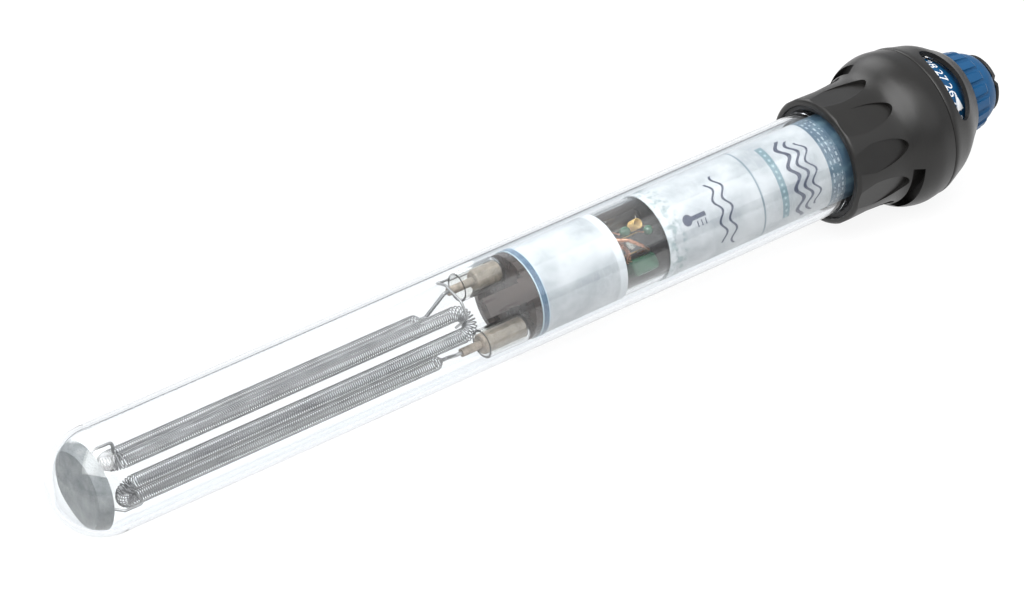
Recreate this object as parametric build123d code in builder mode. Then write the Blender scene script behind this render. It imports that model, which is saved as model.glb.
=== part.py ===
from build123d import *
import os
from math import cos, pi, radians, sin, sqrt, tan

# Submersible aquarium heater: a sealed glass tube with a heating coil and a thermostat,
# closed by a black head that carries the temperature dial.  The tube's axis is X, with the
# domed tip at -X and the head at +X.  The origin is on the axis at the middle of the bare
# glass, where a clip grips it.  Lengths along the axis are stations: millimetres from the
# head's rim, positive into the head and negative towards the tip.

# ---- driving dimensions ----
exposed_length = 210.0          # bare straight glass between the dome and the head
tube_radius = 13.0
glass_wall = 1.4
bore_radius = tube_radius - glass_wall
socket_depth = 15.0             # glass that sits inside the head
seat_relief = 0.2               # that glass is ground down a little to seat its gasket
seat_radius = tube_radius - seat_relief
head_rim = exposed_length / 2   # X of station 0
dome_station = -exposed_length

front_tilt = 40.4               # the scale and the label face this far above the horizon
front = Vector(0, -cos(radians(front_tilt)), sin(radians(front_tilt)))
side = Vector(0, -sin(radians(front_tilt)), -cos(radians(front_tilt)))

grip_radius = 15.9
bulb_radius = 19.2
seam_station = 28.3
seam_edge_radius = 18.8          # the two halves of the bulb meet at this radius
seam_groove = 0.8               # how deep the shadow line is pressed in where they meet
seam_half_width = 0.22
cap_wall = 1.4
dial_offset = 1.5               # the dial turns about an axis beside the tube's axis

running_fit = 0.05
air_gap = 0.4

os.makedirs("parts", exist_ok=True)


def section(station):
    """The cross-section plane at a station: x runs to the side, y to the front."""
    return Plane(origin=(head_rim + station, 0, 0), x_dir=side, z_dir=(-1, 0, 0))


def place(station, across, out):
    """The point at a station, so far across to the side and out to the front."""
    return Vector(head_rim + station, 0, 0) + side * across + front * out


def profile_plane(across=0.0, out=0.0):
    """A plane along the axis for turned profiles: x is the station, y the radius."""
    return Plane(origin=place(0, across, out), x_dir=(1, 0, 0), z_dir=(0, -1, 0))


def turning_axis(across=0.0, out=0.0):
    return Axis(place(0, across, out), (1, 0, 0))


def finish(piece, label):
    piece.part.label = label
    export_step(piece.part, f"parts/{label}.step")


# ---- glass tube: drawn straight and closed by a round dome at the tip ----
with BuildPart() as glass_tube:
    with BuildSketch(profile_plane()):
        with BuildLine():
            tip = dome_station - tube_radius
            inner_tip = dome_station - bore_radius
            slant = sqrt(0.5)
            Polyline(
                (dome_station, tube_radius),
                (0, tube_radius),
                (0, seat_radius),
                (socket_depth, seat_radius),
                (socket_depth, bore_radius),
                (dome_station, bore_radius),
            )
            ThreePointArc(
                (dome_station, bore_radius),
                (dome_station - bore_radius * slant, bore_radius * slant),
                (inner_tip, 0),
            )
            Line((inner_tip, 0), (tip, 0))
            ThreePointArc(
                (tip, 0),
                (dome_station - tube_radius * slant, tube_radius * slant),
                (dome_station, tube_radius),
            )
        make_face()
    revolve(axis=turning_axis())
finish(glass_tube, "glass_tube")

# ---- head shell: the grip collar and the lower half of the bulb, moulded in one ----
socket_radius = 14.2
floor_thickness = 2.0
floor_station = socket_depth + 1.5
cavity_floor = floor_station + floor_thickness
gear_well_radius = 14.4
gear_well_top = 23.5
cavity_radius = 17.0
rim_round = 1.0
neck_station = 13.0             # the grip flares out from here to the bulb's widest place
bulb_station = 22.8

petal_count = 10
petal_length = 11.0              # half of each petal's outline along the axis, and across it
petal_half_width = 3.6
petal_middle = 5.0
petal_tilt = 2.5
petal_depth = 0.39               # at the petal's middle; the tilt makes it deeper to the bulb

pocket_width = 60.0
pocket_turns = (18.0, 198.0)
pocket_inner, pocket_outer = 15.5, 18.1
pocket_bottom, pocket_top = 16.6, 21.8

post_radius = 4.4
cord_bore_radius = 3.3
spindle_radius = 1.5

ring_teeth = 32
pinion_teeth = 9
gear_module = 0.75
ring_pitch_radius = gear_module * ring_teeth / 2
pinion_pitch_radius = gear_module * pinion_teeth / 2
spindle_across = ring_pitch_radius - pinion_pitch_radius - dial_offset

with BuildPart() as head_shell:
    with BuildSketch(profile_plane()):
        with BuildLine():
            Line((rim_round, grip_radius), (neck_station, grip_radius))
            Spline(
                (neck_station, grip_radius),
                (17.0, 16.75),
                (19.2, 18.15),
                (bulb_station, bulb_radius),
                (seam_station - seam_half_width, seam_edge_radius),
                tangents=((1, 0), (1, -0.16)),
            )
            Polyline(
                (seam_station - seam_half_width, seam_edge_radius),
                (seam_station, seam_edge_radius - seam_groove),
                (seam_station, cavity_radius),
                (gear_well_top, cavity_radius),
                (gear_well_top, gear_well_radius),
                (cavity_floor, gear_well_radius),
                (cavity_floor, 0),
                (floor_station, 0),
                (floor_station, socket_radius),
                (0.25, socket_radius),
                (0, socket_radius + 0.25),
                (0, grip_radius - rim_round),
            )
            ThreePointArc(
                (0, grip_radius - rim_round),
                (rim_round * (1 - sqrt(0.5)), grip_radius - rim_round * (1 - sqrt(0.5))),
                (rim_round, grip_radius),
            )
        make_face()
    revolve(axis=turning_axis())
    # the cord's post and the dial's spindle come up through the floor
    with BuildSketch(section(cavity_floor)):
        with Locations((-dial_offset, 0)):
            Circle(cord_bore_radius)
        with Locations((spindle_across, 0)):
            Circle(spindle_radius + running_fit)
    extrude(amount=floor_thickness, mode=Mode.SUBTRACT)
    # finger pockets under the bulb, one on each side
    with BuildSketch(section(pocket_top)):
        for middle in pocket_turns:
            start = radians(middle - pocket_width / 2)
            end = radians(middle + pocket_width / 2)
            centre = radians(middle)
            with BuildLine():
                inner_points, outer_points = [
                    [(radius * cos(turn), radius * sin(turn)) for turn in (start, centre, end)]
                    for radius in (pocket_inner, pocket_outer)
                ]
                ThreePointArc(*inner_points)
                ThreePointArc(*outer_points)
                Line(inner_points[0], outer_points[0])
                Line(inner_points[2], outer_points[2])
            make_face()
    extrude(amount=pocket_top - pocket_bottom, mode=Mode.SUBTRACT)
    # scooped petals round the grip, sharp towards the bulb and fading towards the rim
    for petal in range(petal_count):
        turn = radians(petal * 360 / petal_count)
        outward = side * cos(turn) + front * sin(turn)
        tilt = radians(petal_tilt)
        normal = outward * cos(tilt) + Vector(1, 0, 0) * sin(tilt)
        along = Vector(1, 0, 0) * cos(tilt) - outward * sin(tilt)
        middle = Vector(head_rim + petal_middle, 0, 0) + outward * (grip_radius - petal_depth)
        with BuildSketch(Plane(origin=middle, x_dir=along, z_dir=normal)):
            Ellipse(petal_length, petal_half_width)
        extrude(amount=bulb_radius - grip_radius, mode=Mode.SUBTRACT)
finish(head_shell, "head_shell")

# ---- rubber gasket between the glass and the grip, closing over the tube's end ----
gasket_start = 0.6
with BuildPart() as tube_gasket:
    with BuildSketch(section(floor_station)):
        Circle(socket_radius)
    extrude(amount=floor_station - gasket_start)
    with BuildSketch(section(socket_depth)):
        Circle(seat_radius)
    extrude(amount=socket_depth - gasket_start, mode=Mode.SUBTRACT)
    gasket_rims = tube_gasket.edges().filter_by(GeomType.CIRCLE).group_by(Axis.X)[0]
    chamfer(gasket_rims.sort_by(SortBy.RADIUS)[0], 0.4)

# ---- rubber stopper in the tube's mouth ----
stopper_length = 10.0
lead_radius = 0.9
lead_across = -dial_offset - 1.7
lead_out = 1.4
lead_places = [(lead_across, lead_out), (lead_across, -lead_out)]
with BuildPart() as tube_stopper:
    with BuildSketch(section(socket_depth)):
        Circle(bore_radius)
    extrude(amount=stopper_length)

for sealed_piece in (tube_gasket, tube_stopper):
    with sealed_piece:
        with BuildSketch(section(floor_station)):
            with Locations(*lead_places):
                Circle(lead_radius)
            with Locations((spindle_across, 0)):
                Circle(spindle_radius + running_fit)
        extrude(amount=socket_depth + stopper_length, mode=Mode.SUBTRACT)
finish(tube_gasket, "tube_gasket")
finish(tube_stopper, "tube_stopper")

# ---- top cap: a dome that leans towards the dial, with the scale window and the dial's hole ----
# each section is its station, its radius and how far its centre leans towards the dial
cap_sections = [
    (seam_station, seam_edge_radius - seam_groove, 0.0),
    (seam_station + seam_half_width, seam_edge_radius - 0.05, 0.0),
    (31.0, 18.2, 0.2),
    (34.0, 17.2, 0.5),
    (37.0, 15.75, 0.85),
    (40.0, 13.6, 1.25),
    (42.4, 11.9, dial_offset),
]
lip_bottom = 26.3
lip_radius = cavity_radius
lip_wall = 0.6
window_turn = 108.0
window_station = 34.7
window_radius = 16.9
window_half_length = 10.2
window_half_width = 4.3
window_slope = 33.0
dial_hole_radius = 11.2
with BuildPart() as top_cap:
    for station, radius, lean in cap_sections:
        with BuildSketch(section(station)):
            with Locations((-lean, 0)):
                Circle(radius)
    loft()
    with BuildSketch(section(seam_station)):
        Circle(lip_radius)
    extrude(amount=seam_station - lip_bottom)
    lip_section = (lip_bottom, lip_radius - lip_wall + cap_wall, 0.0)
    for station, radius, lean in [lip_section] + cap_sections[2:]:
        with BuildSketch(section(station)):
            with Locations((-lean, 0)):
                Circle(radius - cap_wall)
    loft(mode=Mode.SUBTRACT)
    with BuildSketch(section(cap_sections[-1][0] + 1)):
        with Locations((-dial_offset, 0)):
            Circle(dial_hole_radius)
    extrude(amount=3, mode=Mode.SUBTRACT)
    # the scale window: an oval that looks square onto the sloping dome
    outward = side * cos(radians(window_turn)) + front * sin(radians(window_turn))
    square_on = outward * cos(radians(window_slope)) + Vector(1, 0, 0) * sin(radians(window_slope))
    round_about = Vector(1, 0, 0).cross(outward)
    window_middle = Vector(head_rim + window_station, 0, 0) + outward * (window_radius - 0.9)
    with BuildSketch(Plane(origin=window_middle, x_dir=round_about, z_dir=square_on)):
        Ellipse(window_half_length, window_half_width)
    extrude(amount=7, both=True, mode=Mode.SUBTRACT)
finish(top_cap, "top_cap")

# ---- dial: ribbed knob, scale drum and internal ring gear moulded in one ----
drum_bottom = 24.6
drum_radius = 14.5
drum_shoulder = 30.5            # the drum is straight up to here, then follows the dome
neck_bottom, neck_radius = 40.4, 10.35
knob_bottom = 42.7
rib_top = 48.2
dome_radius = 9.2
rib_count = 18
groove_radius = 0.8
post_head_radius = 6.1
post_shoulder = 44.0
dial_top = 52.3
gear_top = 28.6
ring_tooth_height = 0.95
tooth_pitch = gear_module * pi
with BuildPart() as dial:
    with BuildSketch(profile_plane(-dial_offset)):
        with BuildLine():
            Polyline(
                (drum_bottom, drum_radius - 0.3),
                (drum_bottom + 0.3, drum_radius),
                (drum_shoulder, drum_radius),
            )
            Spline(
                (drum_shoulder, drum_radius),
                (34.5, 13.9),
                (38.0, 12.2),
                (neck_bottom, neck_radius),
                tangents=((1, 0), (1, -1)),
            )
            Polyline(
                (neck_bottom, neck_radius),
                (knob_bottom, neck_radius),
                (knob_bottom + 0.5, neck_radius + 0.4),
                (rib_top - 0.5, 10.0),
                (rib_top, 9.6),
                (rib_top + 0.1, dome_radius),
            )
            Spline(
                (rib_top + 0.1, dome_radius),
                (50.6, 8.5),
                (dial_top, 7.1),
                tangents=((1, -0.1), (0.6, -1)),
            )
            Polyline(
                (dial_top, 7.1),
                (dial_top, post_head_radius + running_fit),
                (post_shoulder, post_head_radius + running_fit),
                (post_shoulder, 8.2),
                (39.5, 8.9),
                (36.5, 10.9),
                (33.0, 12.2),
                (30.0, 12.7),
                (drum_bottom, 12.7),
                (drum_bottom, drum_radius - 0.3),
            )
        make_face()
    revolve(axis=turning_axis(-dial_offset))
    # grooves between the ribs, open at the knob's foot and running out at its shoulder
    for groove in range(rib_count):
        turn = radians((groove + 0.5) * 360 / rib_count)
        outward = side * cos(turn) + front * sin(turn)
        foot = place(knob_bottom - 1.5, -dial_offset, 0) + outward * 10.9
        shoulder = place(rib_top + 2.5, -dial_offset, 0) + outward * 9.75
        with BuildSketch(Plane(origin=foot, z_dir=shoulder - foot)):
            Circle(groove_radius)
        extrude(amount=(shoulder - foot).length, mode=Mode.SUBTRACT)
    # internal teeth
    with BuildSketch(section(gear_top)):
        with Locations((-dial_offset, 0)):
            with PolarLocations(0, ring_teeth):
                with Locations((ring_pitch_radius + 0.3, 0)):
                    Trapezoid(1.7, 1.5, 76, rotation=90)
    extrude(amount=gear_top - drum_bottom - 0.3)
finish(dial, "dial")

# ---- cord post: the hollow stem that the dial turns on, with the cord's gland at its end ----
flange_radius = 7.3
post_top = 53.7
groove_station = 47.0
groove_half = 0.6
groove_depth = 0.9
notch_depth = 1.5
notch_half_width = 1.6
notch_turn = 82.0
with BuildPart() as cord_post:
    with BuildSketch(profile_plane(-dial_offset)):
        with BuildLine():
            Polyline(
                (cavity_floor, cord_bore_radius),
                (cavity_floor, post_radius),
                (post_shoulder + 0.8, post_radius),
                (post_shoulder + 0.8, post_head_radius),
                (groove_station - groove_half, post_head_radius),
                (groove_station - groove_half, post_head_radius - groove_depth),
                (groove_station + groove_half, post_head_radius - groove_depth),
                (groove_station + groove_half, post_head_radius),
                (dial_top + air_gap, post_head_radius),
                (dial_top + air_gap, flange_radius - 0.3),
                (dial_top + air_gap + 0.3, flange_radius),
                (post_top - 0.5, flange_radius),
                (post_top, flange_radius - 0.5),
                (post_top, cord_bore_radius + 0.5),
                (post_top - 0.5, cord_bore_radius),
                (cavity_floor, cord_bore_radius),
            )
        make_face()
    revolve(axis=turning_axis(-dial_offset))
    notch_direction = side * cos(radians(notch_turn)) + front * sin(radians(notch_turn))
    notch_apex = place(post_top, -dial_offset, 0) + notch_direction * (flange_radius - notch_depth)
    with BuildSketch(Plane(origin=notch_apex, x_dir=notch_direction, z_dir=(-1, 0, 0))):
        wide = (2 * notch_depth, 2 * notch_half_width)
        Polygon((0, 0), wide, (wide[0], -wide[1]), align=None)
    extrude(amount=post_top - dial_top - air_gap, mode=Mode.SUBTRACT)
finish(cord_post, "cord_post")

# ---- O-rings: the dial's on the post, the spindle's under the head's floor ----
ring_thickness = 0.42
with BuildPart() as dial_o_ring:
    with BuildSketch(profile_plane(-dial_offset)):
        with Locations((groove_station, post_head_radius - groove_depth + ring_thickness)):
            Circle(ring_thickness)
    revolve(axis=turning_axis(-dial_offset))
finish(dial_o_ring, "dial_o_ring")

# ---- dial spindle: carries the pinion and screws the thermostat's nut to and fro ----
spindle_end = -22.0
spindle_top = 29.4
pinion_bottom = drum_bottom + 0.6
with BuildPart() as adjusting_spindle:
    with BuildSketch(section(spindle_top)):
        with Locations((spindle_across, 0)):
            Circle(spindle_radius)
    extrude(amount=spindle_top - spindle_end)
    chamfer(adjusting_spindle.edges().filter_by(GeomType.CIRCLE).group_by(Axis.X)[0], 0.3)
finish(adjusting_spindle, "adjusting_spindle")

pinion_tooth_tip = 0.62
with BuildPart() as spindle_pinion:
    with BuildSketch(section(gear_top)):
        with Locations((spindle_across, 0)):
            Circle(pinion_pitch_radius - 0.65)
            with PolarLocations(0, pinion_teeth, start_angle=180 / pinion_teeth):
                with Locations((pinion_pitch_radius - 0.2, 0)):
                    Trapezoid(1.25, 1.3, 74, rotation=-90)
            Circle(spindle_radius, mode=Mode.SUBTRACT)
    extrude(amount=gear_top - pinion_bottom)
finish(spindle_pinion, "spindle_pinion")

with BuildPart() as spindle_collar:
    with BuildSketch(section(pinion_bottom)):
        with Locations((spindle_across, 0)):
            Circle(2.4)
            Circle(spindle_radius, mode=Mode.SUBTRACT)
    extrude(amount=pinion_bottom - cavity_floor - air_gap)
finish(spindle_collar, "spindle_collar")

# ---- adjusting nut: slides in the thermostat's frame as the spindle turns ----
nut_start = -18.0
nut_length = 5.0
nut_half_width = 2.4
with BuildPart() as adjusting_nut:
    with BuildSketch(section(nut_start + nut_length)):
        with Locations((spindle_across - 0.4, 0)):
            Rectangle(nut_half_width * 2 - 0.8, nut_half_width * 2)
        with Locations((spindle_across, 0)):
            Circle(spindle_radius + running_fit, mode=Mode.SUBTRACT)
    extrude(amount=nut_length)
finish(adjusting_nut, "adjusting_nut")

# ---- inner tube and the printed sleeve round it ----
inner_tube_radius = 10.5
inner_tube_wall = 0.8
inner_tube_end = -90.7
inner_tube_top = 3.5
sleeve_thickness = 0.25
window_low, window_high = -67.4, -54.4
window_arc = 225.0
with BuildPart() as inner_tube:
    with BuildSketch(section(inner_tube_top)):
        Circle(inner_tube_radius)
        Circle(inner_tube_radius - inner_tube_wall, mode=Mode.SUBTRACT)
    extrude(amount=inner_tube_top - inner_tube_end)
finish(inner_tube, "inner_tube")

with BuildPart() as label_sleeve:
    with BuildSketch(section(inner_tube_top)):
        Circle(inner_tube_radius + sleeve_thickness)
        Circle(inner_tube_radius, mode=Mode.SUBTRACT)
    extrude(amount=inner_tube_top - inner_tube_end)
    # the see-through band, open all the way round the front
    with BuildSketch(section(window_high)):
        with BuildLine():
            reach = 14.0
            edge = radians(90 - window_arc / 2)
            Polyline(
                (0, 0),
                (reach * cos(edge), reach * sin(edge)),
                (reach, reach),
                (-reach, reach),
                (-reach * cos(edge), reach * sin(edge)),
                (0, 0),
            )
        make_face()
    extrude(amount=window_high - window_low, mode=Mode.SUBTRACT)
finish(label_sleeve, "label_sleeve")

# ---- blue ring between the sleeve and the crown ----
ring_end = -92.7
plug_radius = inner_tube_radius - inner_tube_wall
with BuildPart() as crown_ring:
    with BuildSketch(section(inner_tube_end)):
        Circle(inner_tube_radius + 0.35)
        Circle(plug_radius, mode=Mode.SUBTRACT)
    extrude(amount=inner_tube_end - ring_end)
finish(crown_ring, "crown_ring")

# ---- crown: the dark moulding that plugs the inner tube and holds the coil's terminals ----
terminal_across, terminal_out = 6.9, 3.6
terminal_places = [(terminal_across, terminal_out), (-terminal_across, terminal_out)]
pin_radius = 0.8
plug_top = -86.0
crown_floor = -94.6
crown_wall_end = -96.5
crown_radius = 10.6
crown_wall = 1.3
slot_half_width = 3.1           # the open slots start this far from the middle
tongue_end = -107.0
tongue_half_width = 2.3
tongue_depth = 2.4
with BuildPart() as crown:
    with BuildSketch(section(plug_top)):
        Circle(plug_radius)
    extrude(amount=plug_top - ring_end)
    with BuildSketch(section(ring_end)):
        Circle(crown_radius)
    extrude(amount=ring_end - crown_wall_end)
    with BuildSketch(section(crown_floor)):
        Circle(crown_radius - crown_wall)
        # open slots in front of the two terminals
        for hand in (1, -1):
            with Locations((hand * (slot_half_width + crown_radius / 2), crown_radius / 2)):
                Rectangle(crown_radius, crown_radius)
    extrude(amount=crown_floor - crown_wall_end, mode=Mode.SUBTRACT)
    # a tongue stands out between the terminals
    with BuildSketch(section(crown_floor)):
        Circle(crown_radius)
        with Locations((0, crown_radius - tongue_depth / 2)):
            Rectangle(tongue_half_width * 2, tongue_depth, mode=Mode.INTERSECT)
    extrude(amount=crown_floor - tongue_end)
    with BuildSketch(section(plug_top)):
        with Locations(*terminal_places):
            Circle(pin_radius)
    extrude(amount=plug_top - crown_wall_end, mode=Mode.SUBTRACT)
finish(crown, "crown")

# ---- terminals: ferrule, pin and clear sleeve; the lower ferrule is longer than the upper ----
# each terminal is its place across, where its shoulder is and where its crimp ends
terminals = {
    "lower_terminal": (terminal_across, -108.6, -114.0),
    "upper_terminal": (-terminal_across, -103.6, -110.6),
}
ferrule_top = -96.4
ferrule_radius = 2.4
crimp_radius = 1.0
clear_radius = 3.4
clear_wall = 0.5
clear_top = -95.2
clear_end = -108.0
clear_round = 2.3
pin_top = -80.0
for name, (across, ferrule_shoulder, ferrule_end) in terminals.items():
    spot = (across, terminal_out)
    with BuildPart() as ferrule:
        with BuildSketch(section(ferrule_top)):
            with Locations(spot):
                Circle(ferrule_radius)
        extrude(amount=ferrule_top - ferrule_shoulder)
        fillet(ferrule.edges().filter_by(GeomType.CIRCLE), 0.5)
        with BuildSketch(section(ferrule_shoulder + 0.6)):
            with Locations(spot):
                Circle(crimp_radius)
        extrude(amount=ferrule_shoulder + 0.6 - ferrule_end)
    finish(ferrule, f"{name}_ferrule")

    # the sleeve's end is drawn in round the pin
    with BuildPart() as clear_sleeve:
        with BuildSketch(profile_plane(*spot)):
            with BuildLine():
                inner_radius = clear_radius - clear_wall
                inner_top = clear_top - clear_wall
                inner_round = clear_round - clear_wall
                outer_bend = (clear_top - clear_round, clear_radius)
                outer_shoulder = (clear_top, clear_radius - clear_round)
                inner_bend = (inner_top - inner_round, inner_radius)
                inner_shoulder = (inner_top, inner_radius - inner_round)
                Polyline((clear_end, inner_radius), (clear_end, clear_radius), outer_bend)
                RadiusArc(outer_bend, outer_shoulder, clear_round)
                Polyline(
                    outer_shoulder, (clear_top, pin_radius), (inner_top, pin_radius), inner_shoulder
                )
                RadiusArc(inner_shoulder, inner_bend, -inner_round)
                Line(inner_bend, (clear_end, inner_radius))
            make_face()
        revolve(axis=turning_axis(*spot))
    finish(clear_sleeve, f"{name}_sleeve")

with BuildPart() as terminal_pins:
    with BuildSketch(section(pin_top)):
        with Locations(*terminal_places):
            Circle(pin_radius)
    extrude(amount=pin_top - ferrule_top)
finish(terminal_pins, "terminal_pins")

# ---- heating coil: a close-wound spiral in four lengthwise runs, folded in three bends ----
# the solid is the spiral's outer shape; the runs lie on an arc round the bundle's own centre
coil_radius = 1.85
bundle_radius = 5.3
bundle_across = 1.5
first_run_turn = 8.0
run_spacing = 60.0
coil_low = -205.5
coil_high = -112.1
tail_start = -117.5
bend_radius = bundle_radius * sin(radians(run_spacing / 2))
bend_reach = bundle_radius * cos(radians(run_spacing / 2))


def around_bundle(turn, reach):
    """Across and out of a point at this turn and reach from the bundle's centre."""
    return bundle_across + reach * cos(radians(turn)), reach * sin(radians(turn))


runs = [around_bundle(first_run_turn + k * run_spacing, bundle_radius) for k in range(4)]
bends = [around_bundle(first_run_turn + (k + 0.5) * run_spacing, bend_reach) for k in range(3)]

coil_ends = [tail_start, coil_low, coil_high, coil_low, tail_start]
with BuildPart() as heating_coil:
    with BuildLine() as coil_line:
        for k, run in enumerate(runs):
            Line(place(coil_ends[k], *run), place(coil_ends[k + 1], *run))
        for k, bend in enumerate(bends):
            turning = coil_ends[k + 1]
            beyond = bend_radius if turning == coil_high else -bend_radius
            ThreePointArc(
                place(turning, *runs[k]), place(turning + beyond, *bend), place(turning, *runs[k + 1])
            )
    with BuildSketch(Plane(origin=coil_line.line @ 0, z_dir=coil_line.line % 0)):
        Circle(coil_radius)
    sweep()
finish(heating_coil, "heating_coil")

# ---- coil tails: the straight wire from each end of the coil into its ferrule ----
tail_radius = 0.45
tail_straight = 1.2
tail_bend = 0.7
for name, run, terminal in (
    ("lower_coil_tail", runs[0], "lower_terminal"),
    ("upper_coil_tail", runs[3], "upper_terminal"),
):
    across, ferrule_shoulder, ferrule_end = terminals[terminal]
    with BuildPart() as tail:
        with BuildLine() as tail_line:
            FilletPolyline(
                place(tail_start, *run),
                place(tail_start + tail_straight, *run),
                place(ferrule_end - tail_straight, across, terminal_out),
                place(ferrule_end, across, terminal_out),
                radius=tail_bend,
            )
        with BuildSketch(Plane(origin=tail_line.line @ 0, z_dir=tail_line.line % 0)):
            Circle(tail_radius)
        sweep()
    finish(tail, name)

# ---- hooks: bent wires that hold the coil's bends ----
hook_radius = 0.32
hook_bend = 0.9
pad_top = -214.2
hook_hole = coil_low - 0.35
hook_straight = 1.0
hook_reach = 5.2
hook_outside = bundle_radius + 3.4      # the hooks come down outside the bends
hook_inside = bend_reach - 2.4          # and their points end inside them
hook_foot = bundle_radius + 1.2
tip_hook_turns = {"lower_tip_hook": 38.0, "upper_tip_hook": 158.0}
for name, turn in tip_hook_turns.items():
    outside = around_bundle(turn, hook_outside)
    inside = around_bundle(turn, hook_inside)
    foot = around_bundle(turn, hook_foot)
    with BuildPart() as hook:
        with BuildLine() as hook_line:
            FilletPolyline(
                place(pad_top, *foot),
                place(pad_top + hook_straight, *foot),
                place(coil_low - hook_reach, *outside),
                place(hook_hole, *outside),
                place(hook_hole, *inside),
                radius=hook_bend,
            )
        with BuildSketch(Plane(origin=hook_line.line @ 0, z_dir=hook_line.line % 0)):
            Circle(hook_radius)
        sweep()
    finish(hook, name)

crown_hook_turn = first_run_turn + 1.5 * run_spacing
# it climbs from the crown's edge round the outside of the upper terminal to the middle bend
crown_hook_path = [
    place(crown_wall_end, -9.9, -1.6),
    place(coil_high + 4.1, -9.9, -1.6),
    place(coil_high + 1.2, -9.9, 0.9),
    place(coil_high + 0.3, -8.3, 5.7),
    place(coil_high + 0.4, -3.6, 8.9),
    place(coil_high + 0.4, *around_bundle(crown_hook_turn, hook_outside + 0.1)),
    place(coil_high + 0.4, *around_bundle(crown_hook_turn, hook_inside)),
]
with BuildPart() as crown_hook:
    with BuildLine() as crown_hook_line:
        FilletPolyline(*crown_hook_path, radius=hook_bend)
    with BuildSketch(Plane(origin=crown_hook_line.line @ 0, z_dir=crown_hook_line.line % 0)):
        Circle(hook_radius)
    sweep()
finish(crown_hook, "crown_hook")

# ---- ceramic bead on the upper tip hook, standing off the pad ----
bead_radius = 1.0
bead_length = 1.7
bead_turn = tip_hook_turns["upper_tip_hook"]
bead_foot = place(pad_top + hook_straight, *around_bundle(bead_turn, hook_foot))
bead_head = place(coil_low - hook_reach, *around_bundle(bead_turn, hook_outside))
bead_direction = (bead_head - bead_foot).normalized()
with BuildPart() as ceramic_bead:
    with BuildSketch(Plane(origin=bead_foot + bead_direction * 0.6, z_dir=bead_direction)):
        Circle(bead_radius)
        Circle(hook_radius, mode=Mode.SUBTRACT)
    extrude(amount=bead_length)
finish(ceramic_bead, "ceramic_bead")

# ---- end pad: the mineral-fibre disc that rests in the dome ----
pad_bottom = pad_top - 2.8
pad_ball_radius = bore_radius - 0.25


def pad_edge(station):
    """Radius of the pad's rounded rim at a station, from a ball inside the dome."""
    return sqrt(pad_ball_radius**2 - (station - dome_station) ** 2)


pad_middle = (pad_top + pad_bottom) / 2
with BuildPart() as end_pad:
    with BuildSketch(profile_plane()):
        with BuildLine():
            Polyline(
                (pad_bottom, pad_edge(pad_bottom)),
                (pad_bottom, 0),
                (pad_top, 0),
                (pad_top, pad_edge(pad_top)),
            )
            ThreePointArc(
                (pad_top, pad_edge(pad_top)),
                (pad_middle, pad_edge(pad_middle)),
                (pad_bottom, pad_edge(pad_bottom)),
            )
        make_face()
    revolve(axis=turning_axis())
finish(end_pad, "end_pad")

# ---- thermostat frame: a round guide for the nut, a half-round bed and an end wall ----
frame_radius = plug_radius - 0.1
frame_top = -8.0
guide_end = -26.0
frame_end = -80.0
end_wall = 4.0
bed_height = 0.0
nut_gap = nut_half_width + air_gap
with BuildPart() as thermostat_frame:
    with BuildSketch(section(frame_top)):
        Circle(frame_radius)
    extrude(amount=frame_top - frame_end)
    with BuildSketch(section(guide_end)):
        with Locations((0, bed_height + frame_radius)):
            Rectangle(frame_radius * 3, frame_radius * 2)
    extrude(amount=guide_end - frame_end - end_wall, mode=Mode.SUBTRACT)
    with BuildSketch(section(frame_top)):
        with Locations((spindle_across - 2.9 + frame_radius / 2, 0)):
            Rectangle(frame_radius, nut_gap * 2)
    extrude(amount=frame_top - guide_end, mode=Mode.SUBTRACT)
finish(thermostat_frame, "thermostat_frame")

# ---- bimetal arm: the strip on its pin, with the moving contact riveted through its end ----
pin_station = -28.5
pin_out = 2.9
pivot_pin_radius = 0.5
eye_radius = 1.15
strip_half_width = 1.8
strip_end = -63.0
strip_thickness = 0.6
contact_station = -60.0
contact_radius = 1.25
ear_inner, ear_outer = 2.3, 3.1


def upright(station, across, out):
    """A plane that looks straight out to the front: x runs along the axis, y across it."""
    return Plane(origin=place(station, across, out), x_dir=(1, 0, 0), z_dir=front)


def crosswise(across):
    """A plane square to the arm's pin, so far across: x runs along the axis, from the pin."""
    return Plane(origin=place(pin_station, across, pin_out), x_dir=(1, 0, 0), z_dir=side)


with BuildPart() as bimetal_strip:
    with BuildSketch(crosswise(-strip_half_width)):
        Circle(eye_radius)
        Circle(pivot_pin_radius + running_fit, mode=Mode.SUBTRACT)
    extrude(amount=strip_half_width * 2)
    strip_start = pin_station - eye_radius + 0.25
    with BuildSketch(upright((strip_start + strip_end) / 2, 0, pin_out - strip_thickness / 2)):
        Rectangle(strip_start - strip_end, strip_half_width * 2)
    extrude(amount=strip_thickness)
    with BuildSketch(upright(contact_station, 0, pin_out - strip_thickness)):
        Circle(contact_radius / 2)
    extrude(amount=strip_thickness * 2, mode=Mode.SUBTRACT)
finish(bimetal_strip, "bimetal_strip")

with BuildPart() as moving_contact:
    with BuildSketch(upright(contact_station, 0, pin_out - strip_thickness / 2 - 0.6)):
        Circle(contact_radius)
    extrude(amount=0.6)
    with BuildSketch(upright(contact_station, 0, pin_out - strip_thickness / 2)):
        Circle(contact_radius / 2)
    extrude(amount=strip_thickness)
    with BuildSketch(upright(contact_station, 0, pin_out + strip_thickness / 2)):
        Circle(contact_radius)
    extrude(amount=0.5)
finish(moving_contact, "moving_contact")

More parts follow.
